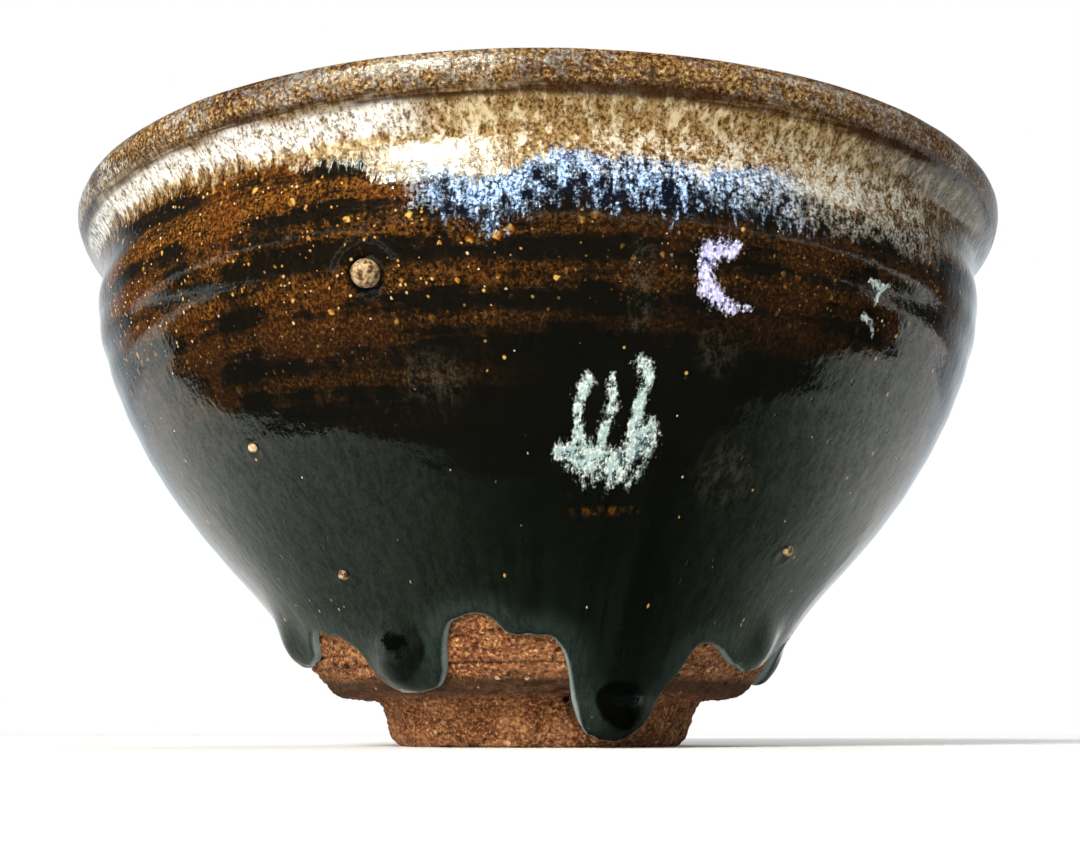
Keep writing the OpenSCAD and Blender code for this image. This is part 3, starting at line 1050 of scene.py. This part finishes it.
def clay_surface(bearing, s):
    """Points of the clay's surface: rough where it is bare, and a little under the glaze elsewhere."""
    radius, height, out_r, out_z = clay_path.at(s)
    bare = 1 - smoothstep(BARE_TO, BARE_TO + 1.5, s)
    relief = 0.10 * turn_marks(bearing, s) + 0.07 * turn_marks_fine(bearing, s)
    relief = relief + 0.16 * grit_bumps(bearing, s) + 0.14 * edge_chips(bearing, s)
    relief = relief - 0.6 * smoothstep(0.6, 0.92, grit_pits(bearing, s))
    for crack_height, gaps in CRACKS:
        place = height - crack_height - 0.25 * crack_wander(bearing, s)
        open_here = smoothstep(-0.1, 0.35, gaps(bearing, 0 * s))
        relief = relief - 0.42 * np.exp(-(place / 0.16) ** 2) * open_here
    out = bare * relief - 0.2 * (1 - bare)
    radius = np.maximum(radius + warp(bearing, height) + out * out_r, 0.01)
    return on_bearing(bearing, radius, np.maximum(height + out * out_z, 0))


def clay_rows():
    """Distances along the clay's outline: close together where it shows, wide apart under the glaze."""
    seen_from, seen_to = clay_path.along[clay_path.start] - 6, BARE_TO + 1
    spans = [(0.4, seen_from, 1.2), (seen_from, seen_to, 0.25), (seen_to, clay_path.length - 0.4, 4.5)]
    return np.concatenate([np.arange(start, end, step) for start, end, step in spans])


def make_clay():
    rows = np.repeat(clay_rows()[:, None], 620, 1)
    piece = make_piece("stoneware_body", clay_surface(bearings_of(rows), rows), ring=False)
    belongs(piece, "clay_body", clay_material())


# ---------------------------------------------------------------- glaze and grit

def make_runs(material):
    """The glaze's rolled lower edge and its drops, with rings that crowd together towards the edge."""
    rise = np.linspace(0, 1, 47)[:, None] ** 1.7
    edge = edge_s[None, :]
    make_skin("glaze_drips", "glaze_runs", edge + rise * (RUN_TOP - edge), material)


def make_pool():
    distances = even_rows(WELL_EDGE, glaze_path.length - 0.3, 0.4, 300)
    bearings = bearings_of(distances)
    back_rows = [0, len(distances) // 2, -1]
    front = glaze_surface(bearings, distances)
    back = glaze_back(bearings[back_rows], distances[back_rows])
    piece = make_piece("well_glaze_pool", np.concatenate([front[::-1], back]), ring=False)
    belongs(piece, "well_pool", pool_material())


def make_grit():
    """Rough half-melted grains, each where the CAD has its ball."""
    bm = bmesh.new()
    rng = np.random.default_rng(30)
    for _, _, size, centre in grains:
        made = bmesh.ops.create_icosphere(bm, subdivisions=5, radius=size / 2)
        lumps = [(Vector(rng.normal(size=3)).normalized(), rng.uniform(-0.1, 0.12)) for _ in range(26)]
        for vertex in made["verts"]:
            way = vertex.co.normalized()
            swell = sum(height * math.exp(-12 * (1 - way.dot(lump))) for lump, height in lumps)
            vertex.co = (way * size / 2 * (1 + swell) + Vector(centre)) * MM
    mesh = bpy.data.meshes.new("feldspar_grains")
    bm.to_mesh(mesh)
    bm.free()
    mesh.shade_smooth()
    belongs(placed("feldspar_grains", mesh), "grit_grains", grit_material())


def make_bowl():
    outside, inside = iron_glaze("iron_glaze"), iron_glaze("inside_iron_glaze", inside=True)
    make_clay()
    make_runs(outside)
    for name, node, start, end, step, columns, material in (
            ("wall_glaze", "outer_glaze", RUN_TOP, CREASE, 0.55, 720, outside),
            ("rim_glaze", "lip_glaze", CREASE, LIP_END, 0.3, 720, outside),
            ("inside_glaze", "inner_glaze", LIP_END, WELL_EDGE, 0.7, 480, inside)):
        make_skin(name, node, even_rows(start, end, step, columns), material)
    make_pool()
    make_grit()


# ---------------------------------------------------------------- studio

def make_floor():
    bpy.ops.mesh.primitive_circle_add(vertices=128, radius=3.0, fill_type="NGON")
    floor = bpy.context.object
    floor.name = "studio_floor"
    floor.data.materials.append(floor_material())


def make_card(name, lift, points, faces, shader_of):
    """A card lying this many mm over the floor, seen only in the glaze's reflections."""
    mesh = bpy.data.meshes.new(name)
    mesh.from_pydata([(x * MM, y * MM, lift * MM) for x, y in points], [], faces)
    card = placed(name, mesh)
    g = Graph(name)
    g.tree.links.new(shader_of(g), g.tree.nodes["Material Output"].inputs["Surface"])
    mesh.materials.append(g.material)
    card.visible_camera = card.visible_diffuse = card.visible_shadow = False


def front_shade_card():
    """A black sheet on the floor out in front of the bowl: painted shade, standing for the dark side of the
    room.
    """
    outline = [
        (-600, 110), (-357, 64), (-218, 41), (-148, -4), (-105, -21), (-70, -43), (-53, -55),
        (55, -56), (88, -54), (156, -43), (268, 30), (693, 99), (900, -900), (-900, -900),
    ]

    def black(g):
        g.wear(Base_Color=(0.01, 0.01, 0.01, 1), Specular_IOR_Level=0.0)
        return g.shader.outputs[0]

    make_card("front_shade_card", 0.2, outline, [list(range(len(outline)))], black)


def shade_card():
    """The shade that falls on the floor close in front of the bowl, deepest a little right of the middle."""
    inner, outer, turns = 21, 200, 48
    ring = [(radius * math.sin(2 * math.pi * i / turns), -radius * math.cos(2 * math.pi * i / turns))
            for radius in (inner, outer) for i in range(turns)]
    faces = [(i, (i + 1) % turns, turns + (i + 1) % turns, turns + i) for i in range(turns)]

    def shade(g):
        streaks = g.noise(g.wall_point(1, 1, 3), 0.09, 3, 0.6)
        blur = g.noise(g.point, 90, 4, 0.6)
        away = g.add(g.math("ABSOLUTE", g.away(18)), g.spread(streaks, 13), g.spread(blur, 5))
        under = g.times(g.ramp(away, 6, 72), g.ramp(g.radius, 25, 120, 0.5, 0.95))
        depth = g.most(under, g.ramp(g.radius, 130, outer))
        tint = g.node("ShaderNodeCombineColor")
        for channel, power in enumerate((1.4, 1.28, 1.42)):
            g.put(tint.inputs[channel], g.math("POWER", depth, power))
        veil = g.node("ShaderNodeBsdfTransparent")
        g.put(veil.inputs[0], tint.outputs[0])
        return veil.outputs[0]

    make_card("shade_card", 0.1, ring, faces, shade)


def softbox(name, bearing, elevation, distance, wide, tall, power, colour=(1, 1, 1)):
    """An area light that faces the bowl from a bearing and an elevation in degrees."""
    light = bpy.data.lights.new(name, "AREA")
    light.shape, light.size, light.size_y = "RECTANGLE", wide, tall
    light.energy, light.color = power, colour
    lamp = placed(name, light)
    a, e = math.radians(bearing), math.radians(elevation)
    aim = Vector((0, 0, top_of("clay_body") * MM / 2))
    way = Vector((math.sin(a) * math.cos(e), -math.cos(a) * math.cos(e), math.sin(e)))
    lamp.location = aim + distance * way
    lamp.rotation_euler = way.to_track_quat("Z", "Y").to_euler()
    return lamp


def wall_behind(w):
    """How bright the glaze mirrors the room: a pale wall low behind the bowl, and dark elsewhere."""
    _, back, up = w.split(w.node("ShaderNodeTexCoord").outputs["Generated"])
    wall = w.times(w.ramp(back, 0.45, 0.9), w.ramp(up, 0.3, 0.7, 1.0, 0.0))
    return w.math("MULTIPLY_ADD", wall, 0.9, 0.04)


def make_world():
    """Pale to the camera, dark in the glaze's reflections, and a soft grey fill for everything else."""
    world = bpy.data.worlds.new("studio")
    world.use_nodes = True
    w = Nodes(world.node_tree)
    w.tree.nodes.clear()

    def sky(colour, strength):
        made = w.node("ShaderNodeBackground")
        w.fill(made, colour, strength)
        return made.outputs[0]

    def either(choice, no, yes):
        made = w.node("ShaderNodeMixShader")
        w.fill(made, choice, no, yes)
        return made.outputs[0]

    ray = w.node("ShaderNodeLightPath").outputs
    mirrored = sky((0.86, 0.94, 1.0, 1), wall_behind(w))
    unseen = either(ray["Is Glossy Ray"], sky((0.9, 0.95, 1.0, 1), 0.42), mirrored)
    w.fill(w.node("ShaderNodeOutputWorld"), either(ray["Is Camera Ray"], unseen, sky((1, 1, 1, 1), 1.0)))
    bpy.context.scene.world = world


def make_camera():
    """The photograph's view: close to the foot's level, looking a little up at the bowl's front."""
    camera = bpy.data.cameras.new("camera")
    camera.sensor_width, camera.lens = 36, 46.97
    camera.clip_start, camera.clip_end = 0.01, 20
    camera.shift_x = 0.0014
    holder = placed("camera", camera)
    holder.location = (0, -0.187, 0.002)
    holder.rotation_euler = (math.radians(90 + 12.17), 0, 0)
    bpy.context.scene.camera = holder


def make_studio():
    make_camera()
    make_floor()
    front_shade_card()
    shade_card()
    make_world()
    sunny = (1.0, 0.97, 0.92)
    softbox("key", -27, 27, 1.0, 0.26, 0.3, 16.5, sunny)
    softbox("low_fill", -38, 7, 1.0, 0.3, 0.1, 6, sunny).visible_glossy = False
    softbox("side_fill", 75, 35, 1.2, 0.5, 0.5, 3)
    softbox("back_fill", 170, 45, 1.2, 0.5, 0.5, 5)
    view = bpy.context.scene.view_settings
    view.view_transform = "Standard"
    view.look = "None"


make_studio()
make_bowl()
